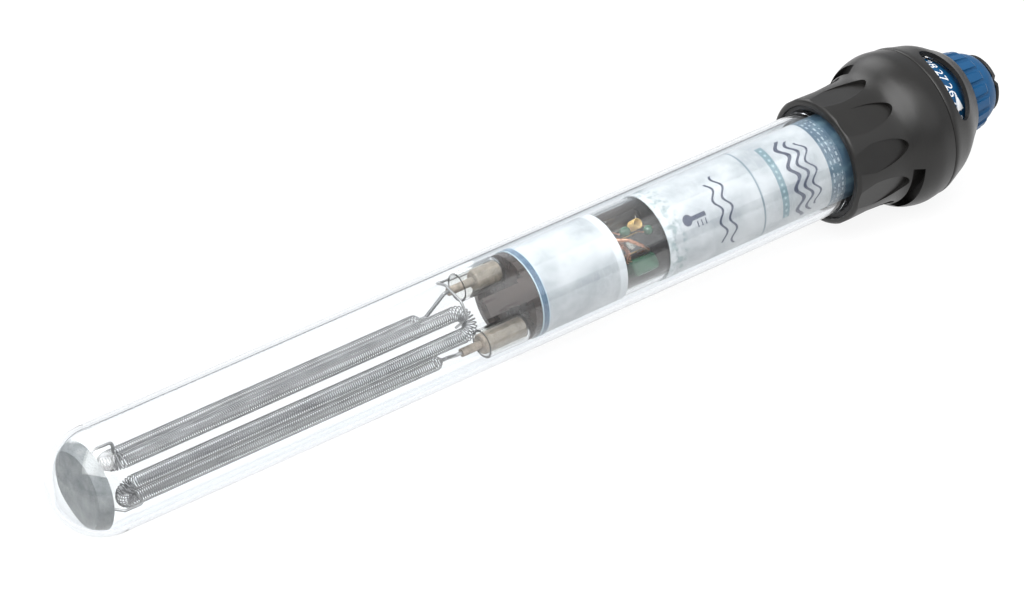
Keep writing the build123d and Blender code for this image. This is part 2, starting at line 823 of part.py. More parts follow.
# ---- the arm's bracket and pivot pin, fixed on the bed ----
with BuildPart() as arm_bracket:
    with BuildSketch(upright(pin_station, 0, bed_height)):
        Rectangle(3.6, ear_outer * 2)
    extrude(amount=0.7)
    for hand in (1, -1):
        with BuildSketch(upright(pin_station, hand * (ear_inner + ear_outer) / 2, bed_height)):
            Rectangle(3.6, ear_outer - ear_inner)
        extrude(amount=pin_out + 1.2)
    with BuildSketch(crosswise(-ear_outer)):
        Circle(pivot_pin_radius)
    extrude(amount=ear_outer * 2, mode=Mode.SUBTRACT)
finish(arm_bracket, "arm_bracket")

with BuildPart() as arm_pin:
    with BuildSketch(crosswise(-ear_outer)):
        Circle(pivot_pin_radius)
    extrude(amount=ear_outer * 2)
finish(arm_pin, "arm_pin")

# ---- fixed contact on its brass spring, and the snap magnet under the strip's end ----
contact_plate_thickness = 0.5
with BuildPart() as contact_plate:
    with BuildSketch(upright(-58.0, 0, bed_height)):
        Rectangle(7.4, 4.4)
    extrude(amount=contact_plate_thickness)
finish(contact_plate, "contact_plate")

with BuildPart() as fixed_contact:
    with BuildSketch(upright(contact_station, 0, contact_plate_thickness)):
        Circle(contact_radius)
    extrude(amount=0.7)
finish(fixed_contact, "fixed_contact")

with BuildPart() as snap_magnet:
    with BuildSketch(upright(-64.0, 0, bed_height)):
        Rectangle(3.2, 4.2)
    extrude(amount=1.5)
finish(snap_magnet, "snap_magnet")

# ---- suppressor capacitor, indicator lamp and copper link, behind the see-through band ----
with BuildPart() as capacitor:
    with BuildSketch(upright(-58.6, 5.4, bed_height)):
        RectangleRounded(7.4, 4.0, 1.2)
    extrude(amount=4.3)
    fillet(capacitor.faces().sort_by(Axis(place(0, 0, 0), tuple(front)))[-1].edges(), 1.0)
finish(capacitor, "capacitor")

lamp_radius = 1.75
with BuildPart() as indicator_lamp:
    with BuildSketch(section(-53.5)):
        with Locations((-5.6, lamp_radius)):
            Circle(lamp_radius)
    extrude(amount=11.0)
    fillet(indicator_lamp.edges().filter_by(GeomType.CIRCLE), 1.2)
finish(indicator_lamp, "indicator_lamp")

link_radius = 0.45
link_across = 2.75
with BuildPart() as copper_link:
    with BuildLine() as link_line:
        FilletPolyline(
            place(-66.0, -link_across, bed_height),
            place(-66.0, -link_across, 5.2),
            place(-62.0, -1.0, 6.6),
            place(-59.0, 1.4, 6.4),
            place(-56.8, link_across, 4.8),
            place(-56.8, link_across, bed_height),
            radius=1.2,
        )
    with BuildSketch(Plane(origin=link_line.line @ 0, z_dir=link_line.line % 0)):
        Circle(link_radius)
    sweep()
finish(copper_link, "copper_link")

# ---- supply leads from the cord's post through both rubbers into the frame ----
for name, place_across in zip(("live_lead", "neutral_lead"), lead_places):
    with BuildPart() as lead:
        with BuildSketch(section(floor_station)):
            with Locations(place_across):
                Circle(lead_radius)
        extrude(amount=floor_station - frame_top)
    finish(lead, name)
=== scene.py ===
from math import cos, pi, radians, sin, sqrt

import bmesh
import bpy
import numpy as np
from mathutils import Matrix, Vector


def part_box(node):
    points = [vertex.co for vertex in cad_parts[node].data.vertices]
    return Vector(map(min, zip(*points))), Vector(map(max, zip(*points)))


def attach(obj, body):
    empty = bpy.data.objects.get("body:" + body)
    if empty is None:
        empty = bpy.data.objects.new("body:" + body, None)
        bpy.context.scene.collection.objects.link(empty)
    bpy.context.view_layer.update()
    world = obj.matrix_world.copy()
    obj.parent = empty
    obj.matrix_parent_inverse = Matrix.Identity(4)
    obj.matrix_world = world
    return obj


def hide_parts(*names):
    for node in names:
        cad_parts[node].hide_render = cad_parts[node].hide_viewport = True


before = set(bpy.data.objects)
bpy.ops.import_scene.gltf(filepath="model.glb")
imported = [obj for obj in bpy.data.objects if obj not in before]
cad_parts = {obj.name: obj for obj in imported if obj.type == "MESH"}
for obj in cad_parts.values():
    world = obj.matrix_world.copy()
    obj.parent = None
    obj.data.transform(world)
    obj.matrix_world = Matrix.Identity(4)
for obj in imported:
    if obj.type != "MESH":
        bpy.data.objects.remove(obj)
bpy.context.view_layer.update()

# ---- Glass tube ----
# A length of clear borosilicate tube, drawn straight, closed at one end over a flame and ground
# down a little at the mouth, where the head's gasket grips it.
mm = 0.001
rim = float(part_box("head_shell")[0][0])         # X of the head's rim, where the stations start
front_tilt = radians(40.4)                      # the label and the scale face this far above level
along = np.array([1.0, 0.0, 0.0])
front = np.array([0.0, -cos(front_tilt), sin(front_tilt)])
side = np.array([0.0, -sin(front_tilt), -cos(front_tilt)])

tube_radius, bore_radius = 13.0, 11.6
dome_station = -210.0
socket_depth = 15.0
seat_radius = 12.8


def at(station, across, out):
    """Points in metres: the rim plus station along the axis, across to the side, out to the front."""
    station, across, out = np.broadcast_arrays(station, across, out)
    offset = station[..., None] * along + across[..., None] * side + out[..., None] * front
    return np.array([rim, 0.0, 0.0]) + mm * offset


def turned(stations, radii, centre=(0.0, 0.0), segments=128):
    """A profile turned round an axis parallel to X through centre: across = r cos t, out = r sin t."""
    turn = np.linspace(0, 2 * pi, segments, endpoint=False)
    stations, radii = np.array(stations, float), np.array(radii, float)
    stations, radii = [a[:, None] if a.ndim == 1 else a for a in (stations, radii)]
    return at(stations, centre[0] + radii * np.cos(turn), centre[1] + radii * np.sin(turn))


def solid(name, points, faces, body, finish, crease=radians(35)):
    """A closed mesh on a body: doubles merged, faces turned outwards, smooth but for its creases."""
    mesh = bpy.data.meshes.new(name)
    mesh.from_pydata(points.reshape(-1, 3).tolist(), [], faces)
    shell = bmesh.new()
    shell.from_mesh(mesh)
    bmesh.ops.remove_doubles(shell, verts=shell.verts, dist=1e-7)
    bmesh.ops.dissolve_degenerate(shell, edges=shell.edges, dist=1e-8)
    bmesh.ops.recalc_face_normals(shell, faces=shell.faces)
    shell.to_mesh(mesh)
    shell.free()
    mesh.shade_smooth()
    mesh.set_sharp_from_angle(angle=crease)
    mesh.materials.append(finish.material)
    piece = bpy.data.objects.new(name, mesh)
    bpy.context.scene.collection.objects.link(piece)
    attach(piece, body)
    return piece


def woven(rows, columns, wrap_rows=False, end_caps=False):
    """Faces over a grid whose rows are rings: row r, column c joins r + 1 and c + 1, round the ring."""
    row = np.arange(rows if wrap_rows else rows - 1)[:, None]
    column = np.arange(columns)[None, :]
    below, beside = (row + 1) % rows, (column + 1) % columns
    corners = (
        row * columns + column, below * columns + column,
        below * columns + beside, row * columns + beside
    )
    faces = np.stack(corners, axis=-1).reshape(-1, 4).tolist()
    if end_caps:
        faces.append(list(range(columns)))
        faces.append(list(range((rows - 1) * columns, rows * columns))[::-1])
    return faces


class Mark:
    """A value at each point of a surface.  Its operators add Math nodes to the finish it is part of."""

    def __init__(self, finish, socket):
        self.finish, self.socket = finish, socket

    def maths(self, operation, *values, clamp=False):
        settings = {"operation": operation, "use_clamp": clamp}
        return self.finish.node("ShaderNodeMath", settings, dict(enumerate(values)))

    def __add__(self, other):
        return self.maths("ADD", self, other)

    __radd__ = __add__

    def __sub__(self, other):
        return self.maths("SUBTRACT", self, other)

    def __rsub__(self, other):
        return self.maths("SUBTRACT", other, self)

    def __mul__(self, other):
        return self.maths("MULTIPLY", self, other)

    __rmul__ = __mul__

    def __truediv__(self, other):
        return self.maths("DIVIDE", self, other)

    def __abs__(self):
        return self.maths("ABSOLUTE", self)

    def sine(self):
        return self.maths("SINE", self)

    def repeat(self, pitch):
        """The distance from the middle of a cell this long, from -pitch / 2 to pitch / 2."""
        return self.maths("WRAP", self, pitch / 2, -pitch / 2)

    def over(self, edge, soft):
        """0 below the edge and 1 above it, changing over a soft width."""
        return self.maths("ADD", (self - edge) / soft, 0.5, clamp=True)

    def under(self, edge, soft):
        return self.maths("SUBTRACT", 0.5, (self - edge) / soft, clamp=True)

    def within(self, low, high, soft):
        return self.over(low, soft) * self.under(high, soft)

    def larger(self, other):
        return self.maths("MAXIMUM", self, other)

    def dot(self, direction):
        sockets = {0: self, 1: tuple(direction)}
        return self.finish.node("ShaderNodeVectorMath", {"operation": "DOT_PRODUCT"}, sockets, out="Value")


class Finish:
    """A material, or the world's light, in the making: one node at a time, then its last shader."""

    def __init__(self, owner):
        self.material = owner
        owner.use_nodes = True
        self.tree = owner.node_tree
        self.tree.nodes.clear()

    def node(self, kind, settings=None, sockets=None, out=0):
        """Any shader node: its settings first (stops fills a ramp), then its sockets' values or links."""
        made = self.tree.nodes.new(kind)
        for name, value in (settings or {}).items():
            if name == "stops":
                while len(made.color_ramp.elements) < len(value):
                    made.color_ramp.elements.new(1.0)
                for element, (position, colour) in zip(made.color_ramp.elements, value):
                    element.position, element.color = position, (*colour, 1.0)
            else:
                setattr(made, name, value)
        for name, value in (sockets or {}).items():
            if isinstance(value, Mark):
                self.tree.links.new(value.socket, made.inputs[name])
            elif name in ("Base Color", "Color", "Emission Color", 6, 7):
                made.inputs[name].default_value = (*value, 1.0)
            else:
                made.inputs[name].default_value = value
        return Mark(self, made.outputs[out]) if made.outputs else None

    def spot(self, stretch=None):
        """The place on the piece in metres, or stretched along each axis."""
        place = self.node("ShaderNodeTexCoord", out="Object")
        if stretch is None:
            return place
        return self.node("ShaderNodeVectorMath", {"operation": "MULTIPLY"}, {0: place, 1: stretch})

    def noise(self, grain, detail=2.0, stretch=None, roughness=0.5):
        """Soft random grain of this size in millimetres, from 0 to 1."""
        sockets = {"Vector": self.spot(stretch), "Scale": 1 / (grain * mm)}
        sockets |= {"Detail": detail, "Roughness": roughness}
        return self.node("ShaderNodeTexNoise", None, sockets, out="Fac")

    def station(self):
        return (self.spot().dot(along) - rim) / mm

    def blend(self, mask, under, over):
        """A colour that is under where the mask is 0 and over where it is 1."""
        return self.node("ShaderNodeMix", {"data_type": "RGBA"}, {0: mask, 6: under, 7: over}, out=2)

    def bump(self, height, depth):
        """A normal tilted by a height from 0 to 1 that stands this many millimetres deep."""
        return self.node("ShaderNodeBump", None, {"Height": height, "Distance": depth * mm}, out="Normal")

    def principled(self, **sockets):
        """A Principled surface: its sockets by name, with _ for a space."""
        named = {name.replace("_", " "): value for name, value in sockets.items()}
        return self.node("ShaderNodeBsdfPrincipled", None, named)

    def end(self, shader):
        self.node("ShaderNodeOutputMaterial", None, {"Surface": shader})
        return self

    def lets_lamps_through(self, shader, tint):
        """Ends a clear finish: lamps shine straight through it instead of casting its shadow."""
        clear = self.node("ShaderNodeBsdfTransparent", None, {"Color": tint})
        shadow_ray = self.node("ShaderNodeLightPath", out="Is Shadow Ray")
        return self.end(self.node("ShaderNodeMixShader", None, {0: shadow_ray, 1: shader, 2: clear}))


def new_finish(name):
    return Finish(bpy.data.materials.new(name))


def give(finish, *nodes):
    """Puts a finish on nodes of the CAD model that are shown as they are."""
    for node in nodes:
        for material_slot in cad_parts[node].material_slots:
            material_slot.material = finish.material


def clear_glass(name, tint, edge_tint, edge_start, ripple, ior=1.47):
    """Clear drawn glass, darker where it is seen edge-on, with ripples too shallow to feel."""
    glass = new_finish(name)
    draw_lines = glass.noise(3.0, 1.0, stretch=(0.08, 1.0, 1.0))
    grazing = glass.node("ShaderNodeLayerWeight", None, {"Blend": 0.5}, out="Facing")
    colour = glass.blend(grazing.over((edge_start + 1) / 2, 1 - edge_start), tint, edge_tint)
    shader = glass.principled(
        Base_Color=colour, Roughness=0.0, IOR=ior, Transmission_Weight=1.0,
        Normal=glass.bump(draw_lines, ripple)
    )
    return glass.lets_lamps_through(shader, (0.97, 0.985, 0.99))


tube_glass = clear_glass("drawn_glass", (0.975, 0.99, 1.0), (0.60, 0.67, 0.74), 0.38, ripple=0.012)

dome_steps, straight_steps, segments = 28, 30, 160
mouth_bevel, ground_step = 0.3, 0.15
tip_thickening = 0.7
dome_turn = np.linspace(0, pi / 2, dome_steps)
outer_dome = dome_station - tube_radius * np.cos(dome_turn), tube_radius * np.sin(dome_turn)
straight = np.linspace(dome_station, 0, straight_steps)[1:]
# the mouth: (station, radius) from the step down to the seat, round the ground end, to the bore
mouth = np.array([
    (ground_step, seat_radius), (socket_depth - mouth_bevel, seat_radius),
    (socket_depth, seat_radius - mouth_bevel), (socket_depth, bore_radius + mouth_bevel),
    (socket_depth - mouth_bevel, bore_radius),
])
inner_dome = dome_station - bore_radius * np.cos(dome_turn[::-1]), bore_radius * np.sin(dome_turn[::-1])
profile_stations = np.concatenate(
    [outer_dome[0], straight, mouth[:, 0], straight[::-1][1:], inner_dome[0]]
)
outside_radii, inside_radii = np.full(len(straight), tube_radius), np.full(len(straight) - 1, bore_radius)
profile_radii = np.concatenate([outer_dome[1], outside_radii, mouth[:, 1], inside_radii, inner_dome[1]])
tube_turn = np.linspace(0, 2 * pi, segments, endpoint=False)
# the flame leaves the glass thick and uneven at the tip, so the inside of the dome bulges inwards
inside = np.arange(len(profile_stations)) >= len(profile_stations) - dome_steps
nearness = np.where(inside, np.clip(1 - (profile_radii / bore_radius) ** 2, 0, 1), 0)[:, None]
lobes = 0.62 + 0.22 * np.cos(2 * tube_turn - 0.9) + 0.16 * np.cos(3 * tube_turn + 0.6)
bulge = tip_thickening * (nearness**1.4) * (lobes * (1 - nearness**3) + 0.62 * nearness**3)
tube_points = turned(profile_stations[:, None] + bulge, profile_radii, segments=segments)
tube_faces = woven(len(profile_stations), segments)
glass_envelope = solid("glass_envelope", tube_points, tube_faces, "heater", tube_glass)
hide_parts("glass_tube")

# ---- Thermostat frame ----
# The dark brown moulding that slides into the inner tube.  It is a phenolic resin with mineral
# filler, pressed in a polished mould, so it is glossy with faint flow marks.
brown = new_finish("brown_phenolic")
flow = brown.noise(2.4, 3.0, stretch=(0.12, 1.0, 1.0))
speck = brown.noise(0.18, 2.0)
brown_colour = brown.blend(flow.over(0.5, 0.5), (0.016, 0.012, 0.011), (0.050, 0.038, 0.033))
brown_colour = brown.blend(speck.over(0.68, 0.06) * 0.35, brown_colour, (0.16, 0.13, 0.11))
brown.end(
    brown.principled(
        Base_Color=brown_colour, Roughness=0.2 + 0.16 * flow, Specular_IOR_Level=0.45,
        Normal=brown.bump(flow + 0.25 * speck, 0.05)
    )
)
give(brown, "thermostat_frame", "crown")

# ---- Spindle, pinion, collar and nut ----
# Turned and milled from free-cutting brass, left bright from the tool with fine turning rings.
brass = new_finish("turned_brass")
tool_rings = (brass.station() * 28.0).sine() * 0.5 + 0.5
tarnish = brass.noise(1.6, 3.0)
brass.end(
    brass.principled(
        Base_Color=brass.blend(tarnish.over(0.55, 0.4), (0.80, 0.56, 0.22), (0.52, 0.34, 0.14)),
        Metallic=1.0, Roughness=0.22 + 0.25 * tarnish,
        Normal=brass.bump(tool_rings + 0.5 * tarnish, 0.01)
    )
)
give(brass, "adjusting_spindle", "spindle_pinion", "spindle_collar", "adjusting_nut")
give(brass, "arm_bracket", "contact_plate")

# ---- Bimetal arm, its pin and the snap magnet ----
# The strip is rolled from two metals bonded together.  The pin and the magnet are plain ground
# steel, and the magnet has a few chipped, darker places.
steel = new_finish("rolled_steel")
rolling = steel.noise(0.5, 2.0, stretch=(0.05, 1.0, 1.0))
handled = steel.noise(2.2, 3.0)
steel.end(
    steel.principled(
        Base_Color=steel.blend(handled.over(0.55, 0.3), (0.20, 0.19, 0.185), (0.10, 0.09, 0.085)),
        Metallic=1.0, Roughness=0.38 + 0.2 * rolling + 0.1 * handled,
        Normal=steel.bump(rolling, 0.012)
    )
)
give(steel, "bimetal_strip", "arm_pin", "snap_magnet", "terminal_pins")

# ---- Contacts ----
# Silver-alloy rivets, one through the arm's end and one in the contact plate, dulled by sparking.
silver = new_finish("contact_silver")
sparked = silver.noise(0.35, 3.0)
silver.end(
    silver.principled(
        Base_Color=silver.blend(sparked.over(0.58, 0.12), (0.62, 0.60, 0.56), (0.22, 0.20, 0.18)),
        Metallic=1.0, Roughness=0.25 + 0.3 * sparked, Normal=silver.bump(sparked, 0.02)
    )
)
give(silver, "moving_contact", "fixed_contact")

# ---- Capacitor, lamp, copper link and leads ----
# The capacitor is dipped in green epoxy, which runs into soft drips.  The lamp is a small glass
# neon.  The link is bare copper wire, and the leads are plastic-covered wire.
epoxy = new_finish("dipped_epoxy")
drips = epoxy.noise(1.5, 2.0)
epoxy.end(
    epoxy.principled(
        Base_Color=epoxy.blend(drips, (0.005, 0.028, 0.013), (0.022, 0.11, 0.055)),
        Roughness=0.2 + 0.1 * drips, Coat_Weight=0.25, Normal=epoxy.bump(drips, 0.12)
    )
)
give(epoxy, "capacitor")

lamp_glass = clear_glass("lamp_glass", (0.95, 0.93, 0.88), (0.45, 0.44, 0.42), 0.5, ripple=0.02)
give(lamp_glass, "indicator_lamp")

copper = new_finish("bare_copper")
oxide = copper.noise(0.9, 3.0)
copper.end(
    copper.principled(
        Base_Color=copper.blend(oxide.over(0.5, 0.3), (0.80, 0.40, 0.26), (0.34, 0.15, 0.09)),
        Metallic=1.0, Roughness=0.2 + 0.25 * oxide, Normal=copper.bump(oxide, 0.02)
    )
)
give(copper, "copper_link")


def lead_cover(name, colour, worn):
    """Soft extruded insulation: a dull skin with faint lengthwise drag lines."""
    cover = new_finish(name)
    drag = cover.noise(0.3, 2.0, stretch=(0.05, 1.0, 1.0))
    return cover.end(
        cover.principled(
            Base_Color=cover.blend(drag, colour, worn), Roughness=0.38 + 0.2 * drag,
            Normal=cover.bump(drag, 0.02)
        )
    )


give(lead_cover("brown_insulation", (0.10, 0.045, 0.025), (0.15, 0.07, 0.04)), "live_lead")
give(lead_cover("blue_insulation", (0.02, 0.07, 0.24), (0.04, 0.11, 0.32)), "neutral_lead")

# ---- Small parts over the bed ----
# A frayed pigtail of fine copper strands, a bright brass contact spring and two small dipped
# components on bent legs, all soldered to the bed in the see-through band.


def smooth_path(corners, count):
    """A curve near its corners (station, across, out): the corners are rounded over 12 times."""
    corners = np.array(corners, float)
    amount = np.linspace(0, len(corners) - 1, count)
    path = np.stack([np.interp(amount, np.arange(len(corners)), column) for column in corners.T], axis=1)
    for _ in range(12):
        path[1:-1] = (path[:-2] + 2 * path[1:-1] + path[2:]) / 4
    return path


def wires(paths, radius, sides=6):
    """Points and faces of round wires along paths, with a ring of points square to each path."""
    points, faces = [], []
    turn = np.linspace(0, 2 * pi, sides, endpoint=False)
    for path in paths:
        heading = np.gradient(path, axis=0)
        heading /= np.linalg.norm(heading, axis=1, keepdims=True)
        first = np.cross(heading, [0.36, 0.48, 0.80])
        first /= np.linalg.norm(first, axis=1, keepdims=True)
        second = np.cross(heading, first)
        ring = first[:, None, :] * np.cos(turn)[:, None] + second[:, None, :] * np.sin(turn)[:, None]
        wire = path[:, None, :] + radius * ring
        start = sum(len(block) for block in points)
        faces += [[corner + start for corner in face] for face in woven(len(path), sides, end_caps=True)]
        points.append(at(wire[..., 0], wire[..., 1], wire[..., 2]).reshape(-1, 3))
    return np.concatenate(points), faces


strand_count, strand_points = 9, 60
core_corners = [
    (-68.6, -3.4, 4.6), (-67.0, -2.6, 7.2), (-65.2, -0.6, 8.2), (-64.0, 1.6, 7.4), (-63.6, 2.9, 5.2)
]
core = smooth_path(core_corners, strand_points)
travel = np.linspace(0, 1, strand_points)[:, None]
strands = []
for number in range(strand_count):
    spin = 2 * pi * number / strand_count + 9.0 * travel
    spread = 0.22 + 0.75 * travel * (0.4 + 0.6 * abs(sin(2.3 * number)))
    spray = [0.5 * spread * np.sin(3 * spin), spread * np.cos(spin), spread * np.sin(spin)]
    strands.append(core + np.concatenate(spray, axis=1))
pigtail_points, pigtail_faces = wires(strands, 0.085, sides=5)
solid("copper_pigtail", pigtail_points, pigtail_faces, "heater", copper, crease=pi)

spring_turns, spring_radius = 5.5, 1.05
spring_turn = np.linspace(0, 2 * pi * spring_turns, 150)
spring = np.stack(
    [
        -58.4 + spring_radius * np.cos(spring_turn),
        -3.6 + spring_radius * np.sin(spring_turn),
        4.3 + 3.4 * spring_turn / spring_turn[-1],
    ],
    axis=1,
)
spring_points, spring_faces = wires([spring], 0.19)
solid("contact_spring", spring_points, spring_faces, "heater", brass, crease=pi)

ball_rows = np.linspace(0, pi, 13)
body_radius, body_segments = 1.15, 20
bodies, bodies_faces, legs = [], [], []
# each component: the middle of its body (station, across, out) and half its length
components = ((-61.9, -3.1, 6.3, 1.5), (-56.2, -1.4, 6.9, 1.2))
for middle_station, middle_across, middle_out, half_length in components:
    # an egg on its side: station = middle - half_length cos t, radius = body_radius sin t
    body_points = turned(
        middle_station - half_length * np.cos(ball_rows), body_radius * np.sin(ball_rows),
        centre=(middle_across, middle_out), segments=body_segments
    )
    start = sum(len(block) for block in bodies)
    egg_faces = woven(len(ball_rows), body_segments)
    bodies_faces += [[corner + start for corner in face] for face in egg_faces]
    bodies.append(body_points.reshape(-1, 3))
    for hand in (1, -1):
        end = middle_station + hand * (half_length + 0.5)
        legs.append(smooth_path(
            [(middle_station + hand * 0.8, middle_across, middle_out), (end, middle_across, middle_out),
             (end, middle_across - 1.2, 4.0), (end, -3.0, 0.1)], 40
        ))
solid("dipped_components", np.concatenate(bodies), bodies_faces, "heater", epoxy)
leg_points, leg_faces = wires(legs, 0.14)
solid("component_legs", leg_points, leg_faces, "heater", copper, crease=pi)

# ---- Inner tube ----
# A thin clear plastic tube that holds the thermostat and carries the printed sleeve.
inner_clear = clear_glass(
    "inner_plastic", (0.965, 0.975, 0.97), (0.6, 0.62, 0.62), 0.7, ripple=0.03, ior=1.40
)
give(inner_clear, "inner_tube")

# ---- Printed sleeve ----
# Silvered film wrapped round the inner tube, printed and heat-shrunk, so it has a satin skin with
# soft creases.  Marks: a blue-grey band at the head, wave lines, a dotted strip, a thermometer.
sleeve_radius = 10.75
silver_film = (0.46, 0.475, 0.485)
painted_crease_shade = (0.30, 0.32, 0.335)
ink_blue_grey = (0.045, 0.085, 0.125)
ink_navy = (0.012, 0.020, 0.055)
ink_teal = (0.085, 0.17, 0.20)

film = new_finish("printed_film")
station = film.station()
across_mark, out_mark = film.spot().dot(side), film.spot().dot(front)
round_front = film.node("ShaderNodeMath", {"operation": "ARCTAN2"}, {0: across_mark, 1: out_mark})
arc = round_front * sleeve_radius              # millimetres round the sleeve from the front's middle

crumple = film.noise(7.0, 3.0, stretch=(0.7, 1.0, 1.0))
grain = film.noise(0.5, 2.0, stretch=(1.0, 0.35, 0.35))
# painted shade: the film's colour darkens over the crumple pattern, standing in for the soft shading and
# reflection of its creases; the creases themselves are real, in the bump and roughness
film_colour = film.blend(crumple.over(0.52, 0.28), silver_film, painted_crease_shade)
film_colour = film.blend(grain.over(0.62, 0.2) * 0.3, film_colour, (0.50, 0.52, 0.54))
# clear margins where the film's print stops: at each end of the see-through band
margin = station.within(-69.6, -52.6, 0.4)
film_colour = film.blend(margin * 0.7, film_colour, (0.58, 0.60, 0.61))
smudge = station.within(-54.3, -49.5, 2.5) * film.noise(1.8, 3.0).over(0.55, 0.12)
film_colour = film.blend(smudge * 0.55, film_colour, (0.12, 0.20, 0.20))

head_band = station.over(-4.7, 0.12)
band_tone = film.noise(2.5, 2.0, stretch=(0.5, 1.0, 1.0)).over(0.6, 0.3)
band_colour = film.blend(band_tone * 0.6, ink_blue_grey, (0.13, 0.21, 0.25))
film_colour = film.blend(head_band, film_colour, band_colour)
small_dashes = abs(arc.repeat(1.5)).under(0.48, 0.1) * film.noise(1.1, 0.0).over(0.47, 0.05)
dash_rows = abs(station.repeat(1.25)).under(0.22, 0.1) * station.within(-3.9, -0.6, 0.05)
dash_rows = dash_rows * abs(arc).under(13.5, 0.2)
film_colour = film.blend(dash_rows * small_dashes * 0.7, film_colour, (0.42, 0.48, 0.50))

seam_ring = station.within(-25.7, -25.15, 0.12)
film_colour = film.blend(seam_ring * 0.8, film_colour, (0.10, 0.15, 0.18))

dotted_strip = station.within(-19.9, -17.9, 0.12) * abs(arc - 0.4).under(9.6, 0.15)
film_colour = film.blend(dotted_strip * 0.8, film_colour, ink_teal)
dot_across = abs(arc.repeat(1.6))
dot_along = abs(station + 18.9)
dots = (dot_across * dot_across + dot_along * dot_along).under(0.11, 0.12) * dotted_strip
film_colour = film.blend(dots * 0.8, film_colour, (0.34, 0.44, 0.46))


def wave_line(middle, swing, wavelength, half_width, reach, centre=0.0):
    """Ink where the station is within half_width of middle + swing sin(2 pi arc / wavelength)."""
    crest = (arc * (2 * pi / wavelength)).sine() * swing + middle
    return abs(station - crest).under(half_width, 0.12) * abs(arc - centre).under(reach, 0.2)


for wave_station, swing, half_width, reach in (
    (-14.4, 1.0, 0.60, 10.4), (-11.6, 1.0, 0.46, 9.4), (-9.1, 1.0, 0.32, 8.0),
    (-35.0, 0.8, 0.34, 9.0), (-37.9, 0.8, 0.34, 7.4)
):
    wave = wave_line(wave_station, swing, 5.2, half_width, reach, centre=1.6)
    film_colour = film.blend(wave * 0.92, film_colour, ink_navy)

# the thermometer: a round bulb, a stem and three short ticks
bulb_station, bulb_size, stem_half = -47.4, 1.35, 0.55
bulb_along, bulb_across = station - bulb_station, arc - 0.3
bulb = (bulb_along * bulb_along + bulb_across * bulb_across).under(bulb_size**2, 0.3)
stem = abs(bulb_across).under(stem_half, 0.12) * station.within(bulb_station, -42.0, 0.12)
ticks = abs((station + 44.9).repeat(1.2)).under(0.17, 0.1) * station.within(-45.6, -42.2, 0.05)
ticks = ticks * bulb_across.within(1.0, 2.4, 0.12)
film_colour = film.blend(bulb.larger(stem).larger(ticks) * 0.9, film_colour, ink_navy)

film.end(
    film.principled(
        Base_Color=film_colour, Metallic=0.30 - 0.22 * head_band,
        Roughness=0.34 + 0.22 * crumple + 0.1 * grain, Coat_Weight=0.2, Coat_Roughness=0.25,
        Normal=film.bump(crumple + 0.12 * grain, 0.28)
    )
)
give(film, "label_sleeve")

# ---- Crown ring ----
# A moulded blue-grey ring that locks the crown into the inner tube; both its edges are coloured paler.
ring_plastic = new_finish("ring_plastic")
ring_low, ring_high = [(corner[0] - rim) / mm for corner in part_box("crown_ring")]
ring_station = ring_plastic.station()
# a pale band along each edge of the ring
ring_edges = 1 - ring_station.within(ring_low + 0.22, ring_high - 0.22, 0.15)
ring_mottle = ring_plastic.noise(1.6, 3.0)
ring_plain = ring_plastic.blend(ring_mottle.over(0.55, 0.3), (0.045, 0.085, 0.135), (0.10, 0.16, 0.22))
ring_plastic.end(
    ring_plastic.principled(
        Base_Color=ring_plastic.blend(ring_edges * 0.75, ring_plain, (0.50, 0.60, 0.64)),
        Roughness=0.25 + 0.2 * ring_mottle, Normal=ring_plastic.bump(ring_mottle, 0.03)
    )
)
give(ring_plastic, "crown_ring")

# ---- Terminals ----
# Fired tan ceramic ferrules crimped on the pins, each inside a clear sleeve with a round end.
tan = new_finish("fired_tan")
firing = tan.noise(1.1, 3.0)
pits = tan.noise(0.16, 2.0)
tan_colour = tan.blend(firing.over(0.5, 0.4), (0.27, 0.225, 0.18), (0.14, 0.115, 0.09))
tan.end(
    tan.principled(
        Base_Color=tan.blend(pits.over(0.66, 0.06) * 0.5, tan_colour, (0.10, 0.08, 0.07)),
        Roughness=0.42 + 0.2 * firing, Normal=tan.bump(pits + firing, 0.06)
    )
)
give(tan, "lower_terminal_ferrule", "upper_terminal_ferrule")
sleeve_glass = clear_glass("sleeve_glass", (0.95, 0.95, 0.93), (0.36, 0.36, 0.35), 0.45, ripple=0.03)
give(sleeve_glass, "lower_terminal_sleeve", "upper_terminal_sleeve")

# ---- Heating coil ----
# Resistance wire close-wound into one long spiral, folded into four runs with three bends, and
# drawn down at each end to the straight tail that goes into its ferrule.
coil_wire_radius, coil_pitch = 0.16, 0.58
coil_radius = 1.85 - coil_wire_radius
bundle_radius, bundle_across = 5.3, 1.5
first_run_turn, run_spacing = radians(8), radians(60)
coil_low, coil_high, tail_start = -205.5, -112.1, -117.5
steps_per_turn, wire_sides = 14, 4
bend_radius = bundle_radius * sin(run_spacing / 2)
run_turns = first_run_turn + run_spacing * np.arange(4)
runs = bundle_radius * np.stack([np.cos(run_turns), np.sin(run_turns)], axis=1) + [bundle_across, 0.0]


